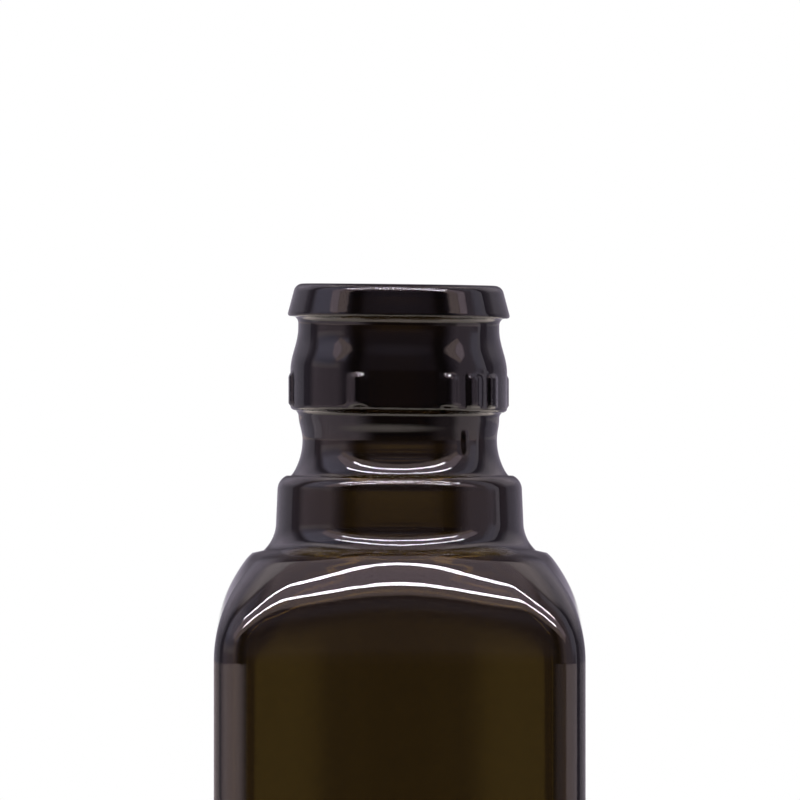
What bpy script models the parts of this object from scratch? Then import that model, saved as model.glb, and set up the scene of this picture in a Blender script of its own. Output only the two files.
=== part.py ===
"""Marasca bottle: a square oil bottle of dark antique green glass, blown in one piece and open at the mouth.

Origin: on the bottle's axis, in the plane that it stands on. +Z is up, and -Y is the face seen from the front.
"""

import math

import bmesh
import bpy
from mathutils import Matrix, Vector

MM = 0.001

# Body: a square with rounded corners
HEIGHT = 195.0 * MM
BODY_SIDE = 47.0 * MM
BODY_CORNER = 5.8 * MM
WALL = 2.75 * MM
INSIDE_CORNER = 3.1 * MM
HEEL_RADIUS = 3.6 * MM
FLOOR_THICKNESS = 5.6 * MM
FLOOR_RADIUS = 6.5 * MM
FLOOR_RISE = 1.0 * MM
BEARING_HALF_WIDTH = 16.2 * MM
PUSH_UP = 2.3 * MM

# Depths below the mouth, and radii, of the turned finish
MOUTH_BORE = 9.2 * MM
MOUTH_EASE = 0.8 * MM
LIP_EDGE = 1.2 * MM
LIP_TOP_RADIUS = 13.4 * MM
LIP_RADIUS = 14.13 * MM
LIP_FLARE_END = 3.5 * MM
LIP_FOOT = 4.2 * MM
LIP_FOOT_EASE = 0.35 * MM
WAIST_RADIUS = 12.81 * MM
WAIST_START = 4.3 * MM
WAIST_END = 5.6 * MM
RING_RADIUS = 13.8 * MM
RING_START = 11.1 * MM
RING_FOOT = 16.1 * MM
RING_FOOT_EASE = 0.5 * MM
NECK_START = 16.3 * MM
NECK_TOP_RADIUS = 12.78 * MM
NECK_RADIUS = 12.385 * MM
NECK_WAIST = 19.7 * MM
NECK_FOOT_SWEEP = 8.3 * MM
NECK_FOOT_TURN = 30.0
COLLAR_RADIUS = 15.57 * MM
COLLAR_EDGE = 2.0 * MM
COLLAR_TOP = 24.1 * MM
COLLAR_END_RADIUS = 15.75 * MM
COLLAR_END = 30.2 * MM
COLLAR_FILLET = 4.85 * MM
COLLAR_FILLET_TURN = 45.0

# Shoulder: one arc, tangent to the body's side, over sections that turn quickly from round to almost square
SHOULDER_RADIUS = 21.19 * MM
SHOULDER_TOP = 34.2 * MM
SHOULDER_END = 47.7 * MM
SHOULDER_WALL = 2.95 * MM
SQUARE_AT_TOP = 0.528
SQUARING_POWER = 2.14
SQUARING_OUTSIDE = (32.8 * MM, 35.0 * MM)
SQUARING_INSIDE = (31.5 * MM, 35.5 * MM)

# Inside, the blown wall follows the collar and the neck, up to the pressed bore of the finish
COLLAR_INSIDE = 12.85 * MM
COLLAR_INSIDE_TOP = 26.4 * MM
NECK_INSIDE = 9.75 * MM
NECK_INSIDE_FOOT = 22.2 * MM
BORE_END = 16.0 * MM

# Bars that stop a closure turning. A turn is degrees from the front towards +X to the bar's steep side
RIB_TURNS = (23, 39, 54.5, 104, 163)
RIB_PROUD = 0.38 * MM
RIB_STEEP = 0.5 * MM
RIB_CREST_END = 1.3 * MM
RIB_WIDTH = 2.85 * MM
RIB_SINK = 0.15 * MM
RIB_TOP = 11.1 * MM
RIB_FOOT = 15.4 * MM
RIB_SLOPE = 0.8 * MM
LUG_TURN = 42
LUG_PROUD = 0.32 * MM
LUG_WIDTH = 0.9 * MM
LUG_CREST = 0.4 * MM
LUG_TOP = 18.6 * MM
LUG_FOOT = 21.3 * MM
LUG_SLOPE = 0.4 * MM
BAR_ROOT = 1.2 * MM

# The finish stands a little askew on the neck
FINISH_LEAN = math.radians(0.7)
FINISH_SHIFT = -0.12 * MM

# Columns between one face's middle and the next one's: steps over a face, and steps round a corner
FACE_STEPS = 8
CORNER_STEPS = 4
FLOOR_SHARES = (0.3, 0.65)
BASE_SHARES = (1.0, 0.75, 0.5, 0.25)

GLASS_COLOUR = (0.035, 0.028, 0.008, 1.0)
GLASS_ROUGHNESS = 0.03
SHARP_ANGLE = math.radians(35)

HALF_SIDE = BODY_SIDE / 2
INSIDE_HALF = HALF_SIDE - WALL
FLOOR_HALF = INSIDE_HALF - FLOOR_RADIUS


def clear_scene():
    for obj in list(bpy.data.objects):
        bpy.data.objects.remove(obj, do_unlink=True)


def glass_material():
    material = bpy.data.materials.new("antique_green_glass")
    material.use_nodes = True
    shader = material.node_tree.nodes["Principled BSDF"]
    shader.inputs["Base Color"].default_value = GLASS_COLOUR
    shader.inputs["Roughness"].default_value = GLASS_ROUGHNESS
    shader.inputs["Metallic"].default_value = 0.0
    return material


def smooth(share):
    share = min(max(share, 0.0), 1.0)
    return share * share * (3 - 2 * share)


def arc(centre, radius, start, end, steps):
    """Points (half width, depth) round a centre. 0 degrees points away from the axis, and 90 down."""
    points = []
    for step in range(steps + 1):
        angle = math.radians(start + (end - start) * step / steps)
        points.append((centre[0] + radius * math.cos(angle), centre[1] + radius * math.sin(angle)))
    return points


def swell(start, end, steps):
    """Points of a soft S curve from one (half width, depth) to another, without its first point."""
    points = []
    for step in range(1, steps + 1):
        share = step / steps
        eased = (1 - math.cos(math.pi * share)) / 2
        points.append((start[0] + (end[0] - start[0]) * eased, start[1] + (end[1] - start[1]) * share))
    return points


def finish_outline():
    """The turned outside, from the flat of the lip down to the collar's foot."""
    points = arc((LIP_TOP_RADIUS - LIP_EDGE, LIP_EDGE), LIP_EDGE, -90, 0, 3)
    points.append((LIP_RADIUS, LIP_FLARE_END))
    points += arc((LIP_RADIUS - LIP_FOOT_EASE, LIP_FOOT - LIP_FOOT_EASE), LIP_FOOT_EASE, 0, 90, 2)
    points.append((WAIST_RADIUS, WAIST_START))
    points.append((WAIST_RADIUS, WAIST_END))
    points += swell((WAIST_RADIUS, WAIST_END), (RING_RADIUS, RING_START), 4)
    points += arc((RING_RADIUS - RING_FOOT_EASE, RING_FOOT - RING_FOOT_EASE), RING_FOOT_EASE, 0, 90, 3)
    points.append((NECK_TOP_RADIUS, NECK_START))
    points += swell((NECK_TOP_RADIUS, NECK_START), (NECK_RADIUS, NECK_WAIST), 2)
    points += arc((NECK_RADIUS + NECK_FOOT_SWEEP, NECK_WAIST), NECK_FOOT_SWEEP, 180, 180 - NECK_FOOT_TURN, 3)[1:]
    points += arc((COLLAR_RADIUS - COLLAR_EDGE, COLLAR_TOP + COLLAR_EDGE), COLLAR_EDGE, -65, 0, 4)
    fillet_centre = (COLLAR_END_RADIUS + COLLAR_FILLET, COLLAR_END)
    points += arc(fillet_centre, COLLAR_FILLET, 180, 180 - COLLAR_FILLET_TURN, 4)
    return points


def shoulder_outline(radius, steps, first_depth):
    """The arc that ends tangent to the body's side, from a given depth down."""
    centre = (HALF_SIDE - SHOULDER_RADIUS, SHOULDER_END)
    start = -math.degrees(math.asin((SHOULDER_END - first_depth) / radius))
    return arc(centre, radius, start, 0, steps)


def outside_outline():
    """(half width, depth) of the outside, from the lip to the plane that the bottle stands on."""
    heel_centre = (HALF_SIDE - HEEL_RADIUS, HEIGHT - HEEL_RADIUS)
    points = finish_outline()
    points += shoulder_outline(SHOULDER_RADIUS, 10, SHOULDER_TOP)
    points += arc(heel_centre, HEEL_RADIUS, 0, 90, 4)
    return points


def inside_outline():
    """(half width, depth) of the inside, from the floor's edge up to the mouth."""
    floor_depth = HEIGHT - FLOOR_THICKNESS
    inner_radius = SHOULDER_RADIUS - SHOULDER_WALL
    reach = COLLAR_INSIDE - (HALF_SIDE - SHOULDER_RADIUS)
    first_depth = SHOULDER_END - math.sqrt(inner_radius**2 - reach**2)
    points = arc((FLOOR_HALF, floor_depth - FLOOR_RADIUS), FLOOR_RADIUS, 90, 0, 4)
    points += shoulder_outline(inner_radius, 6, first_depth)[::-1]
    points.append((COLLAR_INSIDE, COLLAR_INSIDE_TOP))
    points += swell((COLLAR_INSIDE, COLLAR_INSIDE_TOP), (NECK_INSIDE, NECK_INSIDE_FOOT), 4)
    points.append((MOUTH_BORE, BORE_END))
    points += arc((MOUTH_BORE + MOUTH_EASE, MOUTH_EASE), MOUTH_EASE, 180, 270, 2)
    return points


def squareness(depth, squaring):
    """0 where the bottle is round, 1 where it is square, given the depths between which it turns square."""
    first, last = squaring
    to_go = min(max((SHOULDER_END - depth) / (SHOULDER_END - SHOULDER_TOP), 0.0), 1.0)
    return smooth((depth - first) / (last - first)) * (1 - (1 - SQUARE_AT_TOP) * to_go**SQUARING_POWER)


def square_reach(angle, corner):
    """How far a rounded square of half width 1 reaches along a direction, given its corners' radius."""
    turn = math.radians(45) - abs(angle % math.radians(90) - math.radians(45))
    flat = 1 - corner
    if math.tan(turn) <= flat:
        return 1 / math.cos(turn)
    towards = flat * (math.cos(turn) + math.sin(turn))
    return towards + math.sqrt(corner**2 - flat**2 * (1 - math.sin(2 * turn)))


def column_angles():
    """Directions of the mesh's columns: wide steps over a face, fine ones round a corner."""
    corner_start = math.degrees(math.atan(1 - BODY_CORNER / HALF_SIDE))
    angles = []
    for face in range(4):
        for step in range(FACE_STEPS):
            angles.append(90 * face + corner_start * (2 * step / FACE_STEPS - 1))
        for step in range(CORNER_STEPS):
            angles.append(90 * face + corner_start + (90 - 2 * corner_start) * step / CORNER_STEPS)
    return [math.radians(angle) for angle in angles]


def leaned(point):
    """A point of the finish, moved as the finish stands on the neck."""
    depth = HEIGHT - point.z
    share = smooth((NECK_WAIST - depth) / (NECK_WAIST - RING_FOOT))
    drop = math.tan(FINISH_LEAN) * point.x
    return Vector((point.x + share * FINISH_SHIFT, point.y, point.z - share * drop))


def stations():
    """(half width, height, squareness, corner) of each ring of the wall, from the floor inside to the base."""
    outside_corner = BODY_CORNER / HALF_SIDE
    inside_corner = INSIDE_CORNER / INSIDE_HALF
    rings = []
    for share in FLOOR_SHARES:
        rise = FLOOR_RISE * (1 - smooth(share))
        rings.append((FLOOR_HALF * share, FLOOR_THICKNESS + rise, share, inside_corner))
    for half, depth in inside_outline():
        rings.append((half, HEIGHT - depth, squareness(depth, SQUARING_INSIDE), inside_corner))
    for half, depth in outside_outline():
        rings.append((half, HEIGHT - depth, squareness(depth, SQUARING_OUTSIDE), outside_corner))
    for share in BASE_SHARES:
        rise = PUSH_UP * (1 - smooth(share))
        rings.append((BEARING_HALF_WIDTH * share, rise, share, outside_corner))
    return rings


def bottle_wall():
    """The whole wall as one closed loft: up the inside, over the lip, down the outside and under the base."""
    mesh = bmesh.new()
    angles = column_angles()
    rings = []
    for half, height, square, corner in stations():
        ring = []
        for angle in angles:
            reach = half * (1 + square * (square_reach(angle, corner) - 1))
            point = Vector((reach * math.cos(angle), reach * math.sin(angle), height))
            ring.append(mesh.verts.new(leaned(point)))
        rings.append(ring)
    count = len(angles)
    for upper, lower in zip(rings, rings[1:]):
        for column in range(count):
            after = (column + 1) % count
            mesh.faces.new((upper[column], lower[column], lower[after], upper[after]))
    floor = mesh.verts.new((0, 0, FLOOR_THICKNESS + FLOOR_RISE))
    base = mesh.verts.new((0, 0, PUSH_UP))
    for column in range(count):
        after = (column + 1) % count
        mesh.faces.new((floor, rings[0][column], rings[0][after]))
        mesh.faces.new((base, rings[-1][after], rings[-1][column]))
    bmesh.ops.recalc_face_normals(mesh, faces=mesh.faces)
    return mesh


def rib_section(outer_side):
    """(across, out) of a rib: steep towards its turn, flat on top, and sloping on the side that leaves the mould."""
    section = [(0, 0), (RIB_STEEP, RIB_PROUD), (RIB_CREST_END, RIB_PROUD), (RIB_WIDTH, -RIB_SINK)]
    return [((across - RIB_WIDTH / 2) * outer_side, out) for across, out in section]


def lug_section():
    """(across, out) of the neck's lug, the same on both sides."""
    foot = LUG_WIDTH / 2
    crest = LUG_CREST / 2
    return [(-foot, 0), (-crest, LUG_PROUD), (crest, LUG_PROUD), (foot, 0)]


def raised_bar(turn, radius, section, top, foot, slope):
    """A bar of a given section standing on the finish, with a top that slopes back to it."""
    mesh = bmesh.new()
    proud = max(out for _, out in section)
    outline = [(section[0][0], -BAR_ROOT)] + section + [(section[-1][0], -BAR_ROOT)]
    face = mesh.faces.new([mesh.verts.new((across, -radius - out, HEIGHT - foot)) for across, out in outline])
    made = bmesh.ops.extrude_face_region(mesh, geom=[face])["geom"]
    for vert in made:
        if isinstance(vert, bmesh.types.BMVert):
            out = max(-vert.co.y - radius, 0)
            vert.co.z = HEIGHT - top - slope * out / proud
    place = Matrix.Rotation(math.radians(turn), 4, "Z")
    for vert in mesh.verts:
        vert.co = leaned(place @ vert.co)
    bmesh.ops.recalc_face_normals(mesh, faces=mesh.faces)
    return mesh


def rib(turn):
    """One rib of the ring. Its sloping side is the one further from the front and from the back."""
    outer_side = 1 if math.sin(2 * math.radians(turn)) > 0 else -1
    middle = turn + outer_side * math.degrees(RIB_WIDTH / 2 / RING_RADIUS)
    return raised_bar(middle, RING_RADIUS, rib_section(outer_side), RIB_TOP, RIB_FOOT, RIB_SLOPE)


def add_object(name, mesh, collection, material):
    data = bpy.data.meshes.new(name)
    mesh.to_mesh(data)
    mesh.free()
    data.materials.append(material)
    obj = bpy.data.objects.new(name, data)
    collection.objects.link(obj)
    return obj


def fused(obj, helpers):
    """Joins a collection's objects to an object with one union, and removes them."""
    union = obj.modifiers.new("bars", "BOOLEAN")
    union.operation = "UNION"
    union.operand_type = "COLLECTION"
    union.collection = helpers
    graph = bpy.context.evaluated_depsgraph_get()
    joined = bpy.data.meshes.new_from_object(obj.evaluated_get(graph))
    obj.modifiers.clear()
    obj.data = joined
    for helper in list(helpers.objects):
        bpy.data.objects.remove(helper, do_unlink=True)
    bpy.data.collections.remove(helpers)


def build():
    clear_scene()
    scene = bpy.context.scene
    parts = bpy.data.collections.new("marasca_bottle")
    bars = bpy.data.collections.new("finish_bars")
    scene.collection.children.link(parts)
    scene.collection.children.link(bars)
    glass = glass_material()
    bottle = add_object("bottle", bottle_wall(), parts, glass)
    for half_turn in (0, 180):
        for turn in RIB_TURNS:
            add_object(f"rib_{turn + half_turn}", rib(turn + half_turn), bars, glass)
    lug = raised_bar(LUG_TURN, NECK_RADIUS, lug_section(), LUG_TOP, LUG_FOOT, LUG_SLOPE)
    add_object("neck_lug", lug, bars, glass)
    fused(bottle, bars)
    bottle.data.shade_smooth()
    bottle.data.set_sharp_from_angle(angle=SHARP_ANGLE)


build()
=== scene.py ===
"""Looks of the marasca bottle: its wall of dark antique green glass, the studio round it and the camera.

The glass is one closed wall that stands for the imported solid, with finer steps and a slightly fuller
shoulder. Its outline is drawn here, and a Geometry Nodes tree carries a rounded square along it.
Metres, +Z up, and the face seen from the front looks along -Y.
"""

import math

import bpy
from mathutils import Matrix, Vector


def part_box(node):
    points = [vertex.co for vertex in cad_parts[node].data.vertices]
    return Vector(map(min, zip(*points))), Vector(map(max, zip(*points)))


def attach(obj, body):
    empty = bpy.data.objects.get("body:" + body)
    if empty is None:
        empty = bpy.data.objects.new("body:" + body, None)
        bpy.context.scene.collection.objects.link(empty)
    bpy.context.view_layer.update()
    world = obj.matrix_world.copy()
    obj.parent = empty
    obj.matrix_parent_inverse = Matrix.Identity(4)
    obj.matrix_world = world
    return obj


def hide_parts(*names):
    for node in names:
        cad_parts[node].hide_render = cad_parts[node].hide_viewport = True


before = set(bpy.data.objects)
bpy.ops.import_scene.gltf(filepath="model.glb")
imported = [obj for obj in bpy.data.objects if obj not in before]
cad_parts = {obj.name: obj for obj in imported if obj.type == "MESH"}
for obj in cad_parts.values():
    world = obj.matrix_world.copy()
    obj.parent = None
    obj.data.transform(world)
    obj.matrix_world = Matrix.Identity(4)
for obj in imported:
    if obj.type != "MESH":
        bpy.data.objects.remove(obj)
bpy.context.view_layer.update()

MM = 0.001

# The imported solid's side, and the height of its mouth, from which depths are measured down
NODE_LOW, NODE_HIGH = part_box("bottle")
BODY_SIDE = NODE_HIGH.y - NODE_LOW.y
HALF_SIDE = BODY_SIDE / 2
HEIGHT = 195.0 * MM

# The body, in the solid's own sizes, which most of the finish below has too
BODY_CORNER = 5.8 * MM
INSIDE_CORNER = 3.1 * MM
WALL = 2.75 * MM
HEEL_RADIUS = 3.6 * MM
FLOOR_THICKNESS = 5.6 * MM
FLOOR_RADIUS = 6.5 * MM
FLOOR_RISE = 1.0 * MM
BEARING_HALF_WIDTH = 16.2 * MM
PUSH_UP = 2.3 * MM

# Depths below the mouth and radii of the turned finish, and its turns in degrees
MOUTH_BORE = 9.2 * MM
MOUTH_EASE = 0.8 * MM
LIP_EDGE = 1.2 * MM
LIP_TOP_RADIUS = 13.4 * MM
LIP_RADIUS = 14.13 * MM
LIP_FLARE_TURN = 18.0
LIP_FOOT = 4.2 * MM
LIP_FOOT_EASE = 0.35 * MM
LIP_FOOT_TURN = -20.0
WAIST_RADIUS = 12.81 * MM
WAIST_END = 5.6 * MM
RING_RADIUS = 13.8 * MM
RING_START = 11.1 * MM
RING_FOOT = 16.1 * MM
RING_FOOT_EASE = 0.5 * MM
NECK_TOP_RADIUS = 12.78 * MM
NECK_RADIUS = 12.385 * MM
NECK_WAIST = 19.7 * MM
NECK_FOOT_SWEEP = 8.3 * MM
NECK_FOOT_TURN = 27.5
NECK_FOOT_EASE = 3.7 * MM
NECK_FOOT_EASE_TURN = 38.0
NECK_VALLEY = 0.9 * MM
NECK_VALLEY_TURN = 60.0
COLLAR_RADIUS = 15.57 * MM
COLLAR_EDGE = 2.0 * MM
COLLAR_EDGE_TURN = -65.0
COLLAR_TOP = 24.1 * MM
COLLAR_END_RADIUS = 15.75 * MM
COLLAR_END = 30.2 * MM
COLLAR_FILLET = 4.85 * MM
COLLAR_FILLET_TURN = 48.0
UNDER_LIP_EASE = 0.8 * MM
UNDER_RING_EASE = 0.75 * MM

# The shoulder, a little fuller than the solid's, as the photograph shows it
SHOULDER_TOP = 34.2 * MM
SHOULDER_END = 47.7 * MM
SHOULDER_CORNER = 7.4 * MM
LOWER_ARCS = (
    # radius, and how far its outline leans in at the arc's lower and upper end, in degrees
    (28.8 * MM, 0.0, 11.0),
    (15.6 * MM, 11.0, 27.5),
)
OUTSIDE_ARCS = (*LOWER_ARCS, (22.2 * MM, 27.5, 36.0), (6.0 * MM, 36.0, 50.0))
INSIDE_ARCS = (*LOWER_ARCS, (22.2 * MM, 27.5, 55.0))
SHOULDER_WALL = 2.95 * MM

# How the sections turn from round, 0, to square, 1, and from which squareness their corners tighten
SQUARE_AT_TOP = 0.528
SQUARING_POWER = 2.14
SQUARING_OUTSIDE = (32.8 * MM, 35.0 * MM)
SQUARING_INSIDE = (31.5 * MM, 35.5 * MM)
CORNER_TIGHTENS = (0.75, 1.0)

# The inside, blown against the neck and the collar, and thinner beside the body's corners
COLLAR_INSIDE = 12.85 * MM
COLLAR_INSIDE_TOP = 26.4 * MM
NECK_INSIDE = 9.75 * MM
NECK_INSIDE_FOOT = 22.2 * MM
BORE_END = 16.0 * MM
THINNER_BY = 0.62 * MM
THINNER_FROM = (1.0, -1.0)

# Bars that stop a closure turning. A turn is degrees from the front towards +X to the bar's steep side
RIB_TURNS = (23, 39, 54.5, 104, 163)
RIB_PROUD = 0.38 * MM
RIB_STEEP = 0.5 * MM
RIB_CREST_END = 1.3 * MM
RIB_WIDTH = 2.85 * MM
RIB_TOP = 11.1 * MM
RIB_FOOT = 15.4 * MM
RIB_SLOPE = 0.8 * MM
LUG_TURN = 42
LUG_PROUD = 0.32 * MM
LUG_WIDTH = 1.0 * MM
LUG_CREST = 0.5 * MM
LUG_TOP = 18.6 * MM
LUG_FOOT = 21.3 * MM
LUG_SLOPE = 0.4 * MM
BAR_FOOT_EASE = 0.25 * MM

# The finish stands a little askew on the neck
FINISH_LEAN = math.radians(0.7)
FINISH_SHIFT = -0.12 * MM

# Small unevenness of the blown surface, and the stipple of the band that the bottle stands on
RIPPLE_DEPTH = 0.012 * MM
RIPPLE_SCALE = 330.0
RIPPLE_DRAW = 0.12
RIPPLE_FADE = 4.0 * MM
STIPPLE_DEPTH = 0.15 * MM
STIPPLE_COLUMNS = 8
STIPPLE_FLANK = (-0.3, 0.5)
BAND_ROWS = (
    # share of the way across the band from the heel, and how much of the stipple is there
    (0.12, 0.0),
    (0.3, 1.0),
    (0.5, 1.0),
    (0.7, 1.0),
    (0.88, 0.0),
)

# Fineness of the wall's mesh
COLUMNS = 304
DRAWN_STEP = 0.04 * MM
LEAST_STEPS = 4
FINE_TURN = math.radians(6)
LEAST_GAP = 0.09 * MM
FINISH_GAP = 0.25 * MM
NECK_GAP = 0.4 * MM
SHOULDER_GAP = 0.5 * MM
BROAD_GAP = 14.0 * MM
INSIDE_GAP = 1.2 * MM
INSIDE_STRAIGHT = (SHOULDER_END + 2.0 * MM, 180.0 * MM)
STRAIGHT_KEEPS_ONE_IN = 8
FLOOR_STEPS = 8
PUSH_UP_STEPS = 14
FILLET_POINTS = 40
WELD_DISTANCE = 0.002 * MM

# The glass. Its colour and density set what the way through it takes up
GLASS_IOR = 1.52
GLASS_COLOUR = (0.39, 0.30, 0.0, 1.0)
GLASS_DENSITY = 1110.0
PEEL_SCALE = 1100.0
PEEL_STRENGTH = 0.03
PEEL_DEPTH = 0.1 * MM

WHITE = (1.0, 1.0, 1.0, 1.0)

# The photograph's frame and what is measured in it, in pixels, and the camera
FRAME_PX = 800.0
BODY_SIDE_PX = 369.4
AXIS_X_PX = 399.7
MOUTH_Y_PX = 284.6
CAMERA_DISTANCE = 2.5
SENSOR = 36.0


def smooth(share):
    """A soft step from 0 to 1."""
    share = min(max(share, 0.0), 1.0)
    return share * share * (3 - 2 * share)


def arc(centre, radius, start, end):
    """Closely spaced points (half width, depth) round a centre. 0 degrees is away from the axis, 90 down."""
    steps = max(LEAST_STEPS, round(abs(math.radians(end - start)) * radius / DRAWN_STEP))
    points = []
    for step in range(steps + 1):
        angle = math.radians(start + (end - start) * step / steps)
        points.append((centre[0] + radius * math.cos(angle), centre[1] + radius * math.sin(angle)))
    return points


def swell(start, end):
    """Closely spaced points of a soft S curve between two points."""
    steps = max(LEAST_STEPS, round(math.dist(start, end) / DRAWN_STEP))
    points = []
    for step in range(steps + 1):
        share = step / steps
        eased = (1 - math.cos(math.pi * share)) / 2
        points.append((start[0] + (end[0] - start[0]) * eased, start[1] + (end[1] - start[1]) * share))
    return points


def straight(start, end):
    """Closely spaced points between two points, without the first."""
    steps = max(1, round(math.dist(start, end) / DRAWN_STEP))
    return [
        (start[0] + (end[0] - start[0]) * step / steps, start[1] + (end[1] - start[1]) * step / steps)
        for step in range(1, steps + 1)
    ]


def joined(*pieces):
    """One closely drawn outline through pieces, with straight runs where they don't meet."""
    points = list(pieces[0])
    for piece in pieces[1:]:
        points += straight(points[-1], piece[0])
        points += piece[1:]
    kept = points[:1]
    for point in points[1:]:
        if math.dist(point, kept[-1]) > DRAWN_STEP / 10:
            kept.append(point)
    return kept


def spaced(points, gap_limit):
    """Keeps of a closely drawn outline only the points that its bends and its length need."""
    kept = [points[0]]
    turned = 0.0
    for before, here, after in zip(points, points[1:], points[2:]):
        heading = math.atan2(here[1] - before[1], here[0] - before[0])
        next_heading = math.atan2(after[1] - here[1], after[0] - here[0])
        turned += abs((next_heading - heading + math.pi) % math.tau - math.pi)
        gap = math.dist(kept[-1], here)
        if gap >= gap_limit or (turned >= FINE_TURN and gap >= LEAST_GAP):
            kept.append(here)
            turned = 0.0
    kept.append(points[-1])
    return kept


def inner_corner(half, depth, ease):
    """A small hollow fillet from a downward face inwards, round to a vertical face going down."""
    return arc((half + ease, depth + ease), ease, -90, -180)


def onward(start, radius, turn, last_turn):
    """A hollow arc that goes on from a point. Its outline leans outwards by turn there, then last_turn."""
    lean = math.radians(turn)
    centre = (start[0] + radius * math.cos(lean), start[1] - radius * math.sin(lean))
    return arc(centre, radius, 180 - turn, 180 - last_turn)


def lip_outline():
    """The lip band: rounded top edge, flared side, small rounded foot."""
    top = arc((LIP_TOP_RADIUS - LIP_EDGE, LIP_EDGE), LIP_EDGE, -90, -LIP_FLARE_TURN)
    foot_centre = (LIP_RADIUS - LIP_FOOT_EASE, LIP_FOOT - LIP_FOOT_EASE)
    foot = arc(foot_centre, LIP_FOOT_EASE, LIP_FOOT_TURN, 90)
    return joined(top, foot)


def ring_outline():
    """The waist under the lip and the swollen ring that carries the ribs."""
    waist = inner_corner(WAIST_RADIUS, LIP_FOOT, UNDER_LIP_EASE)
    rise = swell((WAIST_RADIUS, WAIST_END), (RING_RADIUS, RING_START))
    foot = arc((RING_RADIUS - RING_FOOT_EASE, RING_FOOT - RING_FOOT_EASE), RING_FOOT_EASE, 0, 90)
    return joined(waist, rise, foot)


def neck_outline():
    """The hollow-sided neck, from under the ring to the collar's top."""
    start = inner_corner(NECK_TOP_RADIUS, RING_FOOT, UNDER_RING_EASE)
    narrowing = swell(start[-1], (NECK_RADIUS, NECK_WAIST))
    sweep_centre = (NECK_RADIUS + NECK_FOOT_SWEEP, NECK_WAIST)
    widening = arc(sweep_centre, NECK_FOOT_SWEEP, 180, 180 - NECK_FOOT_TURN)
    easing = onward(widening[-1], NECK_FOOT_EASE, NECK_FOOT_TURN, NECK_FOOT_EASE_TURN)
    valley = onward(easing[-1], NECK_VALLEY, NECK_FOOT_EASE_TURN, NECK_VALLEY_TURN)
    return joined(start, narrowing, widening, easing, valley)


def collar_outline():
    """The collar: rounded top edge, side and the hollow fillet at its foot."""
    edge_centre = (COLLAR_RADIUS - COLLAR_EDGE, COLLAR_TOP + COLLAR_EDGE)
    edge = arc(edge_centre, COLLAR_EDGE, COLLAR_EDGE_TURN, 0)
    fillet_centre = (COLLAR_END_RADIUS + COLLAR_FILLET, COLLAR_END)
    fillet = arc(fillet_centre, COLLAR_FILLET, 180, 180 - COLLAR_FILLET_TURN)
    return joined(edge, fillet)


def shoulder_outline(arcs, wall):
    """The shoulder at a depth inside the glass, in arcs that go on from each other up from the side."""
    half, depth = HALF_SIDE, SHOULDER_END
    pieces = []
    for radius, lower, upper in arcs:
        lean = math.radians(lower)
        centre = (half - radius * math.cos(lean), depth + radius * math.sin(lean))
        pieces.insert(0, arc(centre, radius - wall, -upper, -lower))
        lean = math.radians(upper)
        half, depth = centre[0] + radius * math.cos(lean), centre[1] - radius * math.sin(lean)
    return joined(*pieces)


def squareness(depth, squaring):
    """0 where the bottle is round, 1 where it is square, given the depths between which it turns square."""
    first, last = squaring
    to_go = min(max((SHOULDER_END - depth) / (SHOULDER_END - SHOULDER_TOP), 0.0), 1.0)
    return smooth((depth - first) / (last - first)) * (1 - (1 - SQUARE_AT_TOP) * to_go**SQUARING_POWER)


def outside_stations():
    """(half width, depth, squareness, inside, stipple) of the outside, from the lip to the heel."""
    heel = arc((HALF_SIDE - HEEL_RADIUS, HEIGHT - STIPPLE_DEPTH - HEEL_RADIUS), HEEL_RADIUS, 0, 90)
    shoulder = joined(shoulder_outline(OUTSIDE_ARCS, 0.0), [(HALF_SIDE, SHOULDER_END + SHOULDER_GAP)])
    stretches = (
        (joined(lip_outline(), ring_outline()), FINISH_GAP),
        (joined(neck_outline(), collar_outline()), NECK_GAP),
        (shoulder, SHOULDER_GAP),
        (joined(shoulder[-1:], heel), BROAD_GAP),
    )
    points = []
    for drawn, gap in stretches:
        kept = spaced(drawn, gap)
        first = 1 if points and math.dist(points[-1], kept[0]) < DRAWN_STEP else 0
        points += kept[first:]
    return [(half, depth, squareness(depth, SQUARING_OUTSIDE), 0.0, 0.0) for half, depth in points]


def base_stations():
    """Under the base: the stippled bearing band and the push-up."""
    rows = []
    band_outer = HALF_SIDE - HEEL_RADIUS
    for share, stipple in BAND_ROWS:
        half = band_outer + (BEARING_HALF_WIDTH - band_outer) * share
        rows.append((half, HEIGHT - STIPPLE_DEPTH, 1.0, 0.0, stipple))
    for step in range(PUSH_UP_STEPS + 1):
        share = 1 - step / PUSH_UP_STEPS
        rise = STIPPLE_DEPTH + (PUSH_UP - STIPPLE_DEPTH) * (1 - smooth(share))
        rows.append((BEARING_HALF_WIDTH * share, HEIGHT - rise, smooth(share), 0.0, 0.0))
    return rows


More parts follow.
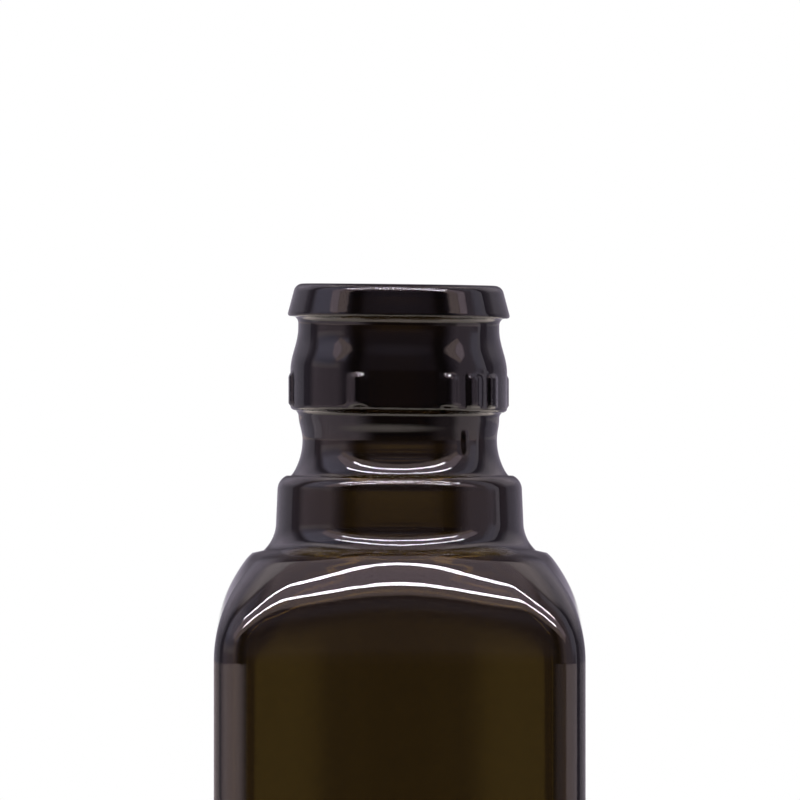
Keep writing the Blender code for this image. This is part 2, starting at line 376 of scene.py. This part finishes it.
def inside_stations():
    """Up the inside: the domed floor, the walls, the inner shoulder, the bore and the mouth's edge."""
    inside_half = HALF_SIDE - WALL
    floor_half = inside_half - FLOOR_RADIUS
    floor_depth = HEIGHT - FLOOR_THICKNESS
    rows = []
    for step in range(FLOOR_STEPS):
        share = step / FLOOR_STEPS
        depth = floor_depth - FLOOR_RISE * (1 - smooth(share))
        rows.append((floor_half * share, depth, smooth(share), 0.0, 0.0))
    floor_edge = arc((floor_half, floor_depth - FLOOR_RADIUS), FLOOR_RADIUS, 90, 0)
    dome = shoulder_outline(INSIDE_ARCS, SHOULDER_WALL)[::-1]
    throat = swell((COLLAR_INSIDE, COLLAR_INSIDE_TOP), (NECK_INSIDE, NECK_INSIDE_FOOT))
    bore = swell((NECK_INSIDE, NECK_INSIDE_FOOT), (MOUTH_BORE, BORE_END))
    bore_top = arc((MOUTH_BORE + MOUTH_EASE, MOUTH_EASE), MOUTH_EASE, 180, 270)
    wall = joined(floor_edge, dome, throat, bore, bore_top)
    for half, depth in spaced(wall, INSIDE_GAP):
        square = squareness(depth, SQUARING_INSIDE)
        inside = smooth((depth - SHOULDER_TOP) / (SHOULDER_END - SHOULDER_TOP))
        rows.append((half, depth, square, inside, 0.0))
    straight_top, straight_foot = INSIDE_STRAIGHT
    kept = []
    for place, row in enumerate(rows):
        if place % STRAIGHT_KEEPS_ONE_IN == 0 or not straight_top < row[1] < straight_foot:
            kept.append(row)
    return kept


def outline_object():
    """The wall's outline as a line of points, each with how square, inside and stippled the wall is there."""
    rows = inside_stations() + outside_stations() + base_stations()
    mesh = bpy.data.meshes.new("wall_outline")
    mesh.from_pydata([(row[0], 0.0, HEIGHT - row[1]) for row in rows], [], [])
    for place, name in ((2, "squareness"), (3, "inside"), (4, "stipple")):
        layer = mesh.attributes.new(name, "FLOAT", "POINT")
        layer.data.foreach_set("value", [row[place] for row in rows])
    obj = bpy.data.objects.new("glass_wall", mesh)
    bpy.context.scene.collection.objects.link(obj)
    print(f"wall outline has {len(rows)} stations")
    return obj


def bar_lines(name, middles, radius, top, foot):
    """A line under each raised bar's middle, on the finish unrolled flat, with its height up."""
    points = []
    edges = []
    for turn in middles:
        across = radius * math.radians((turn + 180) % 360 - 180)
        points += [(across, 0.0, HEIGHT - top), (across, 0.0, HEIGHT - foot)]
        edges.append((len(points) - 2, len(points) - 1))
    mesh = bpy.data.meshes.new(name)
    mesh.from_pydata(points, edges, [])
    obj = bpy.data.objects.new(name, mesh)
    bpy.context.scene.collection.objects.link(obj)
    return obj


class NodeBench:
    """Adds nodes to a tree and links them, so that a formula reads as one."""

    def __init__(self, tree):
        self.tree = tree

    def node(self, kind, settings=None, **inputs):
        made = self.tree.nodes.new(kind)
        for name, value in (settings or {}).items():
            setattr(made, name, value)
        for name, value in inputs.items():
            self.feed(made.inputs[name.replace("_", " ")], value)
        return made

    def feed(self, socket, value):
        if isinstance(value, bpy.types.NodeSocket):
            self.tree.links.new(value, socket)
        else:
            socket.default_value = value

    def math(self, operation, *values):
        made = self.tree.nodes.new("ShaderNodeMath")
        made.operation = operation
        for socket, value in zip(made.inputs, values):
            self.feed(socket, value)
        return made.outputs[0]

    def vector(self, operation, *values, scale=None):
        made = self.tree.nodes.new("ShaderNodeVectorMath")
        made.operation = operation
        for socket, value in zip(made.inputs, values):
            self.feed(socket, value)
        if scale is not None:
            self.feed(made.inputs["Scale"], scale)
        return made.outputs["Vector"]

    def ramp(self, value, low, high, low_out=0.0, high_out=1.0):
        """A soft step from low_out to high_out as value goes from low to high."""
        made = self.tree.nodes.new("ShaderNodeMapRange")
        made.interpolation_type = "SMOOTHSTEP"
        names = ("Value", "From Min", "From Max", "To Min", "To Max")
        for name, given in zip(names, (value, low, high, low_out, high_out)):
            self.feed(made.inputs[name], given)
        return made.outputs[0]

    def mixed(self, share, first, second, kind="FLOAT"):
        made = self.tree.nodes.new("ShaderNodeMix")
        made.data_type = kind
        sockets = {"FLOAT": (2, 3, 0), "VECTOR": (4, 5, 1), "RGBA": (6, 7, 2)}[kind]
        self.feed(made.inputs[0], share)
        self.feed(made.inputs[sockets[0]], first)
        self.feed(made.inputs[sockets[1]], second)
        return made.outputs[sockets[2]]


def group_inputs(tree, rows):
    """Named inputs of a tree, with their values."""
    for name, kind, value in rows:
        socket = tree.interface.new_socket(name=name, in_out="INPUT", socket_type=f"NodeSocket{kind}")
        if value is not None:
            socket.default_value = value


def set_input(modifier, name, value):
    """Sets a modifier's named input by its identifier."""
    for item in modifier.node_group.interface.items_tree:
        if item.item_type == "SOCKET" and item.in_out == "INPUT" and item.name == name:
            modifier[item.identifier] = value
            return
    raise KeyError(name)


def raised_bars_group():
    """How far a point of the finish stands out for the bars whose middle lines are given.

    A bar rises steeply on the side towards the front's or the back's middle, and slopes off on the other.
    """
    tree = bpy.data.node_groups.new("raised_bars", "GeometryNodeTree")
    rows = [("Lines", "Object", None), ("Point", "Vector", None)]
    rows += [(name, "Float", 0.0) for name in ("Radius", "Proud", "Steep", "Crest end", "Width", "Slope")]
    group_inputs(tree, rows)
    tree.interface.new_socket(name="Rise", in_out="OUTPUT", socket_type="NodeSocketFloat")
    bench = NodeBench(tree)
    given = bench.node("NodeGroupInput").outputs
    parts = bench.node("ShaderNodeSeparateXYZ", Vector=given["Point"]).outputs
    turn = bench.math("ARCTAN2", parts["X"], bench.math("MULTIPLY", parts["Y"], -1.0))
    across = bench.math("MULTIPLY", turn, given["Radius"])
    unrolled = bench.node("ShaderNodeCombineXYZ", X=across, Z=parts["Z"])
    lines = bench.node("GeometryNodeObjectInfo", Object=given["Lines"])
    near = bench.node("GeometryNodeProximity", {"target_element": "EDGES"})
    tree.links.new(lines.outputs["Geometry"], near.inputs[0])
    tree.links.new(unrolled.outputs["Vector"], near.inputs["Sample Position"])
    away = bench.vector("SUBTRACT", unrolled.outputs["Vector"], near.outputs["Position"])
    away = bench.node("ShaderNodeSeparateXYZ", Vector=away).outputs
    middle = bench.node("ShaderNodeSeparateXYZ", Vector=near.outputs["Position"]).outputs["X"]

    # The sine of twice a bar's turn says on which side it is steep
    half_radius = bench.math("MULTIPLY", given["Radius"], 0.5)
    side = bench.math("SIGN", bench.math("SINE", bench.math("DIVIDE", middle, half_radius)))
    across = bench.math("MULTIPLY", away["X"], side)
    across = bench.math("ADD", across, bench.math("MULTIPLY", given["Width"], 0.5))
    climb = bench.math("DIVIDE", across, given["Steep"])
    climb = bench.math("MINIMUM", bench.math("MAXIMUM", climb, 0.0), 1.0)
    short = bench.math("SUBTRACT", 1.0, climb)
    inner = bench.math("SQRT", bench.math("SUBTRACT", 1.0, bench.math("MULTIPLY", short, short)))
    outer = bench.ramp(across, given["Crest end"], given["Width"], 1.0, 0.0)
    above = bench.ramp(away["Z"], 0.0, given["Slope"], 1.0, 0.0)
    below = bench.ramp(away["Z"], -BAR_FOOT_EASE, 0.0, 0.0, 1.0)
    rise = bench.math("MULTIPLY", bench.math("MULTIPLY", inner, outer), bench.math("MULTIPLY", above, below))
    out = bench.node("NodeGroupOutput")
    tree.links.new(bench.math("MULTIPLY", rise, given["Proud"]), out.inputs["Rise"])
    return tree


def wall_tree():
    """Carries a rounded square along the outline, rounder where the outline says, and raises the bars."""
    tree = bpy.data.node_groups.new("blown_wall", "GeometryNodeTree")
    tree.is_modifier = True
    group_inputs(
        tree,
        [
            ("Geometry", "Geometry", None),
            ("Columns", "Int", COLUMNS),
            ("Shoulder corner", "Float", SHOULDER_CORNER / HALF_SIDE),
            ("Outside corner", "Float", BODY_CORNER / HALF_SIDE),
            ("Inside corner", "Float", INSIDE_CORNER / (HALF_SIDE - WALL)),
            ("Rib lines", "Object", None),
            ("Lug lines", "Object", None),
            ("Thinner", "Float", THINNER_BY),
            ("Ripple depth", "Float", RIPPLE_DEPTH),
            ("Glass", "Material", None),
        ],
    )
    tree.interface.new_socket(name="Geometry", in_out="OUTPUT", socket_type="NodeSocketGeometry")
    bench = NodeBench(tree)
    given = bench.node("NodeGroupInput").outputs
    outline = given["Geometry"]
    columns = given["Columns"]

    count = bench.node("GeometryNodeAttributeDomainSize", {"component": "MESH"}, Geometry=outline)
    across = bench.math("ADD", columns, 1)
    grid = bench.node("GeometryNodeMeshGrid", Vertices_X=count.outputs["Point Count"], Vertices_Y=across)
    index = bench.node("GeometryNodeInputIndex").outputs["Index"]
    row = bench.math("FLOOR", bench.math("DIVIDE", bench.math("ADD", index, 0.5), across))
    column = bench.math("SUBTRACT", index, bench.math("MULTIPLY", row, across))
    column = bench.math("MODULO", column, columns)

    square_curve = bench.node("GeometryNodeCurvePrimitiveQuadrilateral", Width=2.0, Height=2.0)
    place = bench.node("GeometryNodeInputPosition").outputs["Position"]

    def section(corner):
        rounded = bench.node("GeometryNodeFilletCurve")
        rounded.mode = "POLY"
        tree.links.new(square_curve.outputs["Curve"], rounded.inputs["Curve"])
        tree.links.new(corner, rounded.inputs["Radius"])
        rounded.inputs["Count"].default_value = FILLET_POINTS
        even = bench.node("GeometryNodeResampleCurve", Curve=rounded.outputs["Curve"], Count=columns)
        return even.outputs["Curve"]

    def sampled(geometry, value, at, kind):
        sample = bench.node("GeometryNodeSampleIndex", {"data_type": kind, "domain": "POINT"})
        tree.links.new(geometry, sample.inputs["Geometry"])
        tree.links.new(value, sample.inputs["Value"])
        tree.links.new(at, sample.inputs["Index"])
        return sample.outputs["Value"]

    def of_outline(name):
        named = bench.node("GeometryNodeInputNamedAttribute", {"data_type": "FLOAT"}, Name=name)
        return sampled(outline, named.outputs["Attribute"], row, "FLOAT")

    square = of_outline("squareness")
    inside = of_outline("inside")
    shoulder_section = sampled(section(given["Shoulder corner"]), place, column, "FLOAT_VECTOR")
    body_section = sampled(section(given["Outside corner"]), place, column, "FLOAT_VECTOR")
    tightened = bench.ramp(square, *CORNER_TIGHTENS)
    outer_section = bench.mixed(tightened, shoulder_section, body_section, "VECTOR")
    inner_section = sampled(section(given["Inside corner"]), place, column, "FLOAT_VECTOR")
    on_section = bench.mixed(inside, outer_section, inner_section, "VECTOR")
    on_outline = sampled(outline, place, row, "FLOAT_VECTOR")
    station = bench.node("ShaderNodeSeparateXYZ", Vector=on_outline).outputs

    outwards = bench.vector("NORMALIZE", on_section)
    ring = bench.vector("SCALE", bench.mixed(square, outwards, on_section, "VECTOR"), scale=station["X"])
    level = bench.node("ShaderNodeCombineXYZ", Z=station["Z"]).outputs["Vector"]
    point = bench.vector("ADD", ring, level)

    bars_group = raised_bars_group()

    def bars(lines, sizes):
        group = bench.node("GeometryNodeGroup", {"node_tree": bars_group})
        tree.links.new(lines, group.inputs["Lines"])
        tree.links.new(point, group.inputs["Point"])
        for name, value in zip(("Radius", "Proud", "Steep", "Crest end", "Width", "Slope"), sizes):
            group.inputs[name].default_value = value
        return group.outputs["Rise"]

    rib_sizes = (RING_RADIUS, RIB_PROUD, RIB_STEEP, RIB_CREST_END, RIB_WIDTH, RIB_SLOPE)
    lug_flank = (LUG_WIDTH - LUG_CREST) / 2
    lug_sizes = (NECK_RADIUS, LUG_PROUD, lug_flank, LUG_WIDTH - lug_flank, LUG_WIDTH, LUG_SLOPE)
    rise = bench.math("ADD", bars(given["Rib lines"], rib_sizes), bars(given["Lug lines"], lug_sizes))

    # The wall is blown thinner beside each corner, by the cosine of four times the turn
    facing = bench.node("ShaderNodeSeparateXYZ", Vector=outwards).outputs["X"]
    facing = bench.math("MULTIPLY", facing, facing)
    four_turns = bench.math("SUBTRACT", bench.math("MULTIPLY", facing, facing), facing)
    four_turns = bench.math("ADD", bench.math("MULTIPLY", four_turns, 8.0), 1.0)
    thinner = bench.math("MULTIPLY", bench.ramp(four_turns, *THINNER_FROM), inside)
    rise = bench.math("ADD", rise, bench.math("MULTIPLY", thinner, given["Thinner"]))

    # Small ripples of the blown surface, always inwards, so that the wall keeps its gauge
    noise = bench.node("ShaderNodeTexNoise", {"noise_dimensions": "3D"}, Scale=RIPPLE_SCALE, Detail=1.0)
    tree.links.new(bench.vector("MULTIPLY", point, (1.0, 1.0, RIPPLE_DRAW)), noise.inputs["Vector"])
    ripple = bench.math("MULTIPLY", bench.math("SUBTRACT", noise.outputs[0], 1.0), given["Ripple depth"])
    ripple = bench.math("MULTIPLY", ripple, bench.ramp(station["X"], 0.0, RIPPLE_FADE))
    rise = bench.math("ADD", rise, ripple)
    point = bench.vector("ADD", point, bench.vector("SCALE", outwards, scale=rise))

    # The stipple of the bearing band, one short bar to every few columns
    beat = bench.math("SINE", bench.math("MULTIPLY", column, math.tau / STIPPLE_COLUMNS))
    drop = bench.math("MULTIPLY", bench.ramp(beat, *STIPPLE_FLANK), of_outline("stipple"))
    drop = bench.math("MULTIPLY", drop, -STIPPLE_DEPTH)

    # The lean of the finish
    parts = bench.node("ShaderNodeSeparateXYZ", Vector=point).outputs
    share = bench.ramp(parts["Z"], HEIGHT - NECK_WAIST, HEIGHT - RING_FOOT)
    shift = bench.math("MULTIPLY", share, FINISH_SHIFT)
    tilt = bench.math("MULTIPLY", bench.math("MULTIPLY", parts["X"], -math.tan(FINISH_LEAN)), share)
    moved = bench.node("ShaderNodeCombineXYZ", X=shift, Z=bench.math("ADD", tilt, drop))
    point = bench.vector("ADD", point, moved.outputs["Vector"])

    shaped = bench.node("GeometryNodeSetPosition", Geometry=grid.outputs["Mesh"], Position=point)
    shaped = shaped.outputs["Geometry"]
    welded = bench.node("GeometryNodeMergeByDistance", Geometry=shaped, Distance=WELD_DISTANCE)
    shaded = bench.node("GeometryNodeSetShadeSmooth")
    tree.links.new(welded.outputs["Geometry"], shaded.inputs[0])
    real = bench.node("GeometryNodeRealizeInstances", Geometry=shaded.outputs[0]).outputs["Geometry"]
    painted = bench.node("GeometryNodeSetMaterial", Geometry=real, Material=given["Glass"])
    out = bench.node("NodeGroupOutput")
    tree.links.new(painted.outputs["Geometry"], out.inputs["Geometry"])
    return tree


def as_plain_mesh(obj, helpers):
    """Turns an object's modifiers into its mesh, with its faces outwards, and removes the helpers."""
    graph = bpy.context.evaluated_depsgraph_get()
    mesh = bpy.data.meshes.new_from_object(obj.evaluated_get(graph))
    obj.modifiers.clear()
    obj.data = mesh
    for helper in helpers:
        bpy.data.objects.remove(helper, do_unlink=True)
    signed = 0.0
    for face in mesh.polygons:
        first, second, third = (mesh.vertices[index].co for index in face.vertices[:3])
        signed += first.dot(second.cross(third))
    if signed < 0:
        mesh.flip_normals()
    print(f"{obj.name}: {sum(len(face.vertices) - 2 for face in mesh.polygons)} triangles")


def glass_material():
    """Dark antique green glass: clear and glossy at its surface, and coloured by the way through it."""
    material = bpy.data.materials.new("antique_green_glass")
    material.use_nodes = True
    tree = material.node_tree
    bench = NodeBench(tree)
    shader = tree.nodes["Principled BSDF"]
    shader.inputs["Base Color"].default_value = WHITE
    shader.inputs["Transmission Weight"].default_value = 1.0
    shader.inputs["IOR"].default_value = GLASS_IOR
    shader.inputs["Roughness"].default_value = 0.0

    place = bench.node("ShaderNodeTexCoord").outputs["Object"]
    peel = bench.node("ShaderNodeTexNoise", Scale=PEEL_SCALE, Detail=1.0)
    tree.links.new(place, peel.inputs["Vector"])
    bump = bench.node("ShaderNodeBump", Strength=PEEL_STRENGTH, Distance=PEEL_DEPTH)
    tree.links.new(peel.outputs[0], bump.inputs["Height"])
    tree.links.new(bump.outputs["Normal"], shader.inputs["Normal"])

    depth = bench.node("ShaderNodeVolumeAbsorption", Color=GLASS_COLOUR, Density=GLASS_DENSITY)
    tree.links.new(depth.outputs["Volume"], tree.nodes["Material Output"].inputs["Volume"])
    return material


def rib_middles():
    """Turns of the ribs' middles, in pairs half a turn apart."""
    half_width = math.degrees(RIB_WIDTH / 2 / RING_RADIUS)
    middles = []
    for turn in RIB_TURNS:
        outer_side = 1 if math.sin(2 * math.radians(turn)) > 0 else -1
        middles += [turn + outer_side * half_width, turn + outer_side * half_width + 180]
    return middles


def make_glass():
    """The bottle's wall as one plain mesh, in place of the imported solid."""
    obj = outline_object()
    ribs = bar_lines("rib_lines", rib_middles(), RING_RADIUS, RIB_TOP + RIB_SLOPE, RIB_FOOT)
    lug = bar_lines("lug_lines", (LUG_TURN,), NECK_RADIUS, LUG_TOP + LUG_SLOPE, LUG_FOOT)
    modifier = obj.modifiers.new("blown_wall", "NODES")
    modifier.node_group = wall_tree()
    set_input(modifier, "Rib lines", ribs)
    set_input(modifier, "Lug lines", lug)
    set_input(modifier, "Glass", glass_material())
    as_plain_mesh(obj, [ribs, lug])
    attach(obj, "root")
    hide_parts("bottle")


# What the glass mirrors. Turns go from the camera's side towards the right, rises up from level, in degrees
GAP_SHADE = (0.20, 0.165, 0.215)
CARDS = (
    # turn from and to, rise from and to, softness of the turn and of the rise, colour
    (-56, 56, -90, 68, 6.0, 1.0, (0.05, 0.043, 0.048)),
    (-40, 40, -0.45, 60, 6.0, 0.6, (0.085, 0.065, 0.070)),
    (-40, 40, 4, 60, 6.0, 3.0, (0.145, 0.115, 0.140)),
    (-40, 40, 30, 41, 6.0, 4.0, (0.27, 0.23, 0.30)),
    (122, 220, -60, 42, 2.0, 4.0, (0.36, 0.32, 0.40)),
    (-220, -122, -60, 42, 2.0, 4.0, (0.42, 0.38, 0.46)),
    (-156, -120, 15, 50, 9.0, 8.0, (0.75, 0.66, 0.80)),
    (120, 156, 15, 50, 9.0, 8.0, (0.75, 0.66, 0.75)),
    (-144, -112, 46, 76, 5.0, 8.0, (1.60, 1.42, 1.50)),
    (112, 144, 46, 76, 5.0, 8.0, (1.45, 1.25, 1.30)),
    (166, 220, 6, 50, 6.0, 4.0, (0.16, 0.14, 0.17)),
    (-220, -166, 6, 50, 6.0, 4.0, (0.16, 0.14, 0.17)),
    (176, 220, -8, 2, 2.0, 2.0, (0.90, 0.90, 0.90)),
    (-220, -176, -8, 2, 2.0, 2.0, (0.90, 0.90, 0.90)),
    (-165, -122, -3, -0.5, 3.0, 0.15, (0.60, 0.50, 0.52)),
    (122, 165, -3, -0.5, 3.0, 0.15, (0.50, 0.44, 0.50)),
    (-106, -64, -0.5, 60, 7.0, 0.15, (0.62, 0.49, 0.58)),
    (-106, -68, 6, 14, 5.0, 2.0, (0.90, 0.75, 0.80)),
    (-106, -76, 12, 60, 6.0, 6.0, (0.62, 0.58, 0.78)),
    (-104, -61, 20, 48, 4.0, 5.0, (1.00, 0.92, 1.20)),
    (-108, -42, -1.8, -0.5, 16.0, 0.15, (1.45, 1.15, 1.15)),
    (-108, -42, -40, -1.8, 16.0, 0.8, (0.85, 0.70, 0.80)),
    (-122, -106, -40, -3, 2.0, 2.0, (0.80, 0.70, 0.80)),
    (64, 102, -0.5, 60, 7.0, 0.15, (0.54, 0.44, 0.54)),
    (92, 106, 5, 60, 4.0, 4.0, (0.76, 0.70, 0.88)),
    (103, 108, -40, 60, 1.0, 0.2, (0.80, 0.72, 0.85)),
    (42, 72, -1.8, -0.5, 8.0, 0.15, (0.38, 0.30, 0.32)),
    (42, 72, -40, -1.8, 12.0, 1.0, (0.22, 0.18, 0.20)),
    (70, 107, -1.8, -0.5, 3.0, 0.15, (1.35, 1.10, 1.15)),
    (70, 107, -40, -1.8, 8.0, 1.0, (0.95, 0.80, 0.85)),
    (-220, 220, -90, -22, 1.0, 4.0, (1.50, 1.32, 1.22)),
)

# The pale backdrop that only the light through the glass comes from, when the bottle is seen from other sides
BACKDROP = (-112, 112, -14, 24, 8.0, 8.0, (0.90, 0.88, 0.90))

# Overhead boards and tubes, side to side. Leans go from straight up towards the camera, in degrees
OVERHEAD = (
    # lean from and to, softness of the lean, reach to the sides and its softness, colour
    (-12, 22, 2.0, 0.50, 0.12, (1.15, 0.92, 1.02)),
    (18.8, 35.0, 1.0, 2.2, 0.10, (1.75, 1.38, 1.58)),
    (35.0, 46, 2.0, 2.2, 0.10, (1.40, 1.08, 1.05)),
    (17.6, 20.0, 0.35, 1.0, 0.02, (45.0, 42.0, 47.0)),
    (33.8, 36.2, 0.35, 1.0, 0.02, (45.0, 42.0, 47.0)),
)


def card(bench, behind, turn, rise, row):
    """Paints one card of the studio over what is behind it."""
    left, right, low, high, turn_soft, rise_soft, colour = row
    sides = (
        bench.ramp(turn, left - turn_soft, left + turn_soft),
        bench.ramp(turn, right - turn_soft, right + turn_soft, 1.0, 0.0),
        bench.ramp(rise, low - rise_soft, low + rise_soft),
        bench.ramp(rise, high - rise_soft, high + rise_soft, 1.0, 0.0),
    )
    cover = sides[0]
    for side in sides[1:]:
        cover = bench.math("MULTIPLY", cover, side)
    return bench.mixed(cover, behind, (*colour, 1.0), "RGBA")


def overhead(bench, behind, lean, along, row):
    """Paints one board or tube over the bottle, from side to side, over what is behind it."""
    first, last, soft, reach, reach_soft, colour = row
    cover = bench.math(
        "MULTIPLY",
        bench.ramp(lean, first - soft, first + soft),
        bench.ramp(lean, last - soft, last + soft, 1.0, 0.0),
    )
    cover = bench.math("MULTIPLY", cover, bench.ramp(along, reach - reach_soft, reach + reach_soft, 1.0, 0.0))
    return bench.mixed(cover, behind, (*colour, 1.0), "RGBA")


def studio_world():
    """White to the eye, and a studio to the glass: dark camera side, cards at the sides, tubes above."""
    world = bpy.data.worlds.new("studio")
    bpy.context.scene.world = world
    world.use_nodes = True
    world.cycles.sampling_method = "NONE"
    tree = world.node_tree
    tree.nodes.clear()
    bench = NodeBench(tree)
    direction = bench.node("ShaderNodeTexCoord").outputs["Generated"]
    parts = bench.node("ShaderNodeSeparateXYZ", Vector=direction).outputs
    toward = bench.math("MULTIPLY", parts["Y"], -1.0)
    turn = bench.math("DEGREES", bench.math("ARCTAN2", parts["X"], toward))
    rise = bench.math("DEGREES", bench.math("ARCSINE", parts["Z"]))
    lean = bench.math("DEGREES", bench.math("ARCTAN2", toward, parts["Z"]))
    flat = bench.math("SQRT", bench.math("SUBTRACT", 1.0, bench.math("MULTIPLY", parts["X"], parts["X"])))
    along = bench.math("ABSOLUTE", bench.math("DIVIDE", parts["X"], flat))
    studio = bench.node("ShaderNodeRGB").outputs[0]
    studio.default_value = (*GAP_SHADE, 1.0)
    for row in CARDS:
        studio = card(bench, studio, turn, rise, row)
    for row in OVERHEAD:
        studio = overhead(bench, studio, lean, along, row)
    path = bench.node("ShaderNodeLightPath").outputs
    beyond = card(bench, studio, turn, rise, BACKDROP)
    studio = bench.mixed(path["Is Transmission Ray"], studio, beyond, "RGBA")
    mirrored = bench.node("ShaderNodeBackground", Color=studio)
    white = bench.node("ShaderNodeBackground", Color=WHITE)
    seen = bench.node("ShaderNodeMixShader")
    tree.links.new(bench.math("MAXIMUM", path["Is Camera Ray"], path["Is Diffuse Ray"]), seen.inputs["Fac"])
    tree.links.new(mirrored.outputs[0], seen.inputs[1])
    tree.links.new(white.outputs[0], seen.inputs[2])
    out = bench.node("ShaderNodeOutputWorld")
    tree.links.new(seen.outputs[0], out.inputs["Surface"])


# The floor under the bottle, and how far out it fades
FLOOR_SIZE = 0.42
FLOOR_SIDES = 96
FLOOR_FADE = (0.22, 0.40)
FLOOR_COLOUR = (0.86, 0.86, 0.86, 1.0)
FLOOR_ROUGHNESS = 0.7


def pale_floor():
    """A pale disc that fades to the white round about."""
    turns = [math.tau * side / FLOOR_SIDES for side in range(FLOOR_SIDES)]
    mesh = bpy.data.meshes.new("floor")
    ring = [(FLOOR_SIZE * math.cos(turn), FLOOR_SIZE * math.sin(turn), 0.0) for turn in turns]
    mesh.from_pydata(ring, [], [tuple(range(FLOOR_SIDES))])
    floor = bpy.data.objects.new("floor", mesh)
    bpy.context.scene.collection.objects.link(floor)
    material = bpy.data.materials.new("pale_floor")
    material.use_nodes = True
    tree = material.node_tree
    bench = NodeBench(tree)
    shader = tree.nodes["Principled BSDF"]
    shader.inputs["Base Color"].default_value = FLOOR_COLOUR
    shader.inputs["Roughness"].default_value = FLOOR_ROUGHNESS
    glow = bench.node("ShaderNodeEmission", Color=WHITE)
    away = bench.node("ShaderNodeVectorMath", {"operation": "LENGTH"})
    tree.links.new(bench.node("ShaderNodeTexCoord").outputs["Object"], away.inputs[0])
    fade = bench.node("ShaderNodeMixShader")
    tree.links.new(bench.ramp(away.outputs["Value"], *FLOOR_FADE), fade.inputs["Fac"])
    tree.links.new(shader.outputs["BSDF"], fade.inputs[1])
    tree.links.new(glow.outputs["Emission"], fade.inputs[2])
    tree.links.new(fade.outputs["Shader"], tree.nodes["Material Output"].inputs["Surface"])
    mesh.materials.append(material)
    floor.visible_glossy = False


def photo_camera():
    """Level, far off and square to the front face, as the photograph was taken."""
    metres_per_px = BODY_SIDE / BODY_SIDE_PX
    data = bpy.data.cameras.new("photo_camera")
    data.sensor_width = SENSOR
    data.lens = SENSOR * CAMERA_DISTANCE / (FRAME_PX * metres_per_px)
    camera = bpy.data.objects.new("photo_camera", data)
    bpy.context.scene.collection.objects.link(camera)
    middle = FRAME_PX / 2
    side = (middle - AXIS_X_PX) * metres_per_px
    height = HEIGHT - (middle - MOUTH_Y_PX) * metres_per_px
    camera.location = (side, -CAMERA_DISTANCE, height)
    camera.rotation_euler = (math.radians(90), 0.0, 0.0)
    bpy.context.scene.camera = camera


make_glass()
studio_world()
pale_floor()
photo_camera()
bpy.context.scene.view_settings.view_transform = "Standard"
bpy.context.scene.cycles.caustics_reflective = False
bpy.context.scene.cycles.caustics_refractive = False
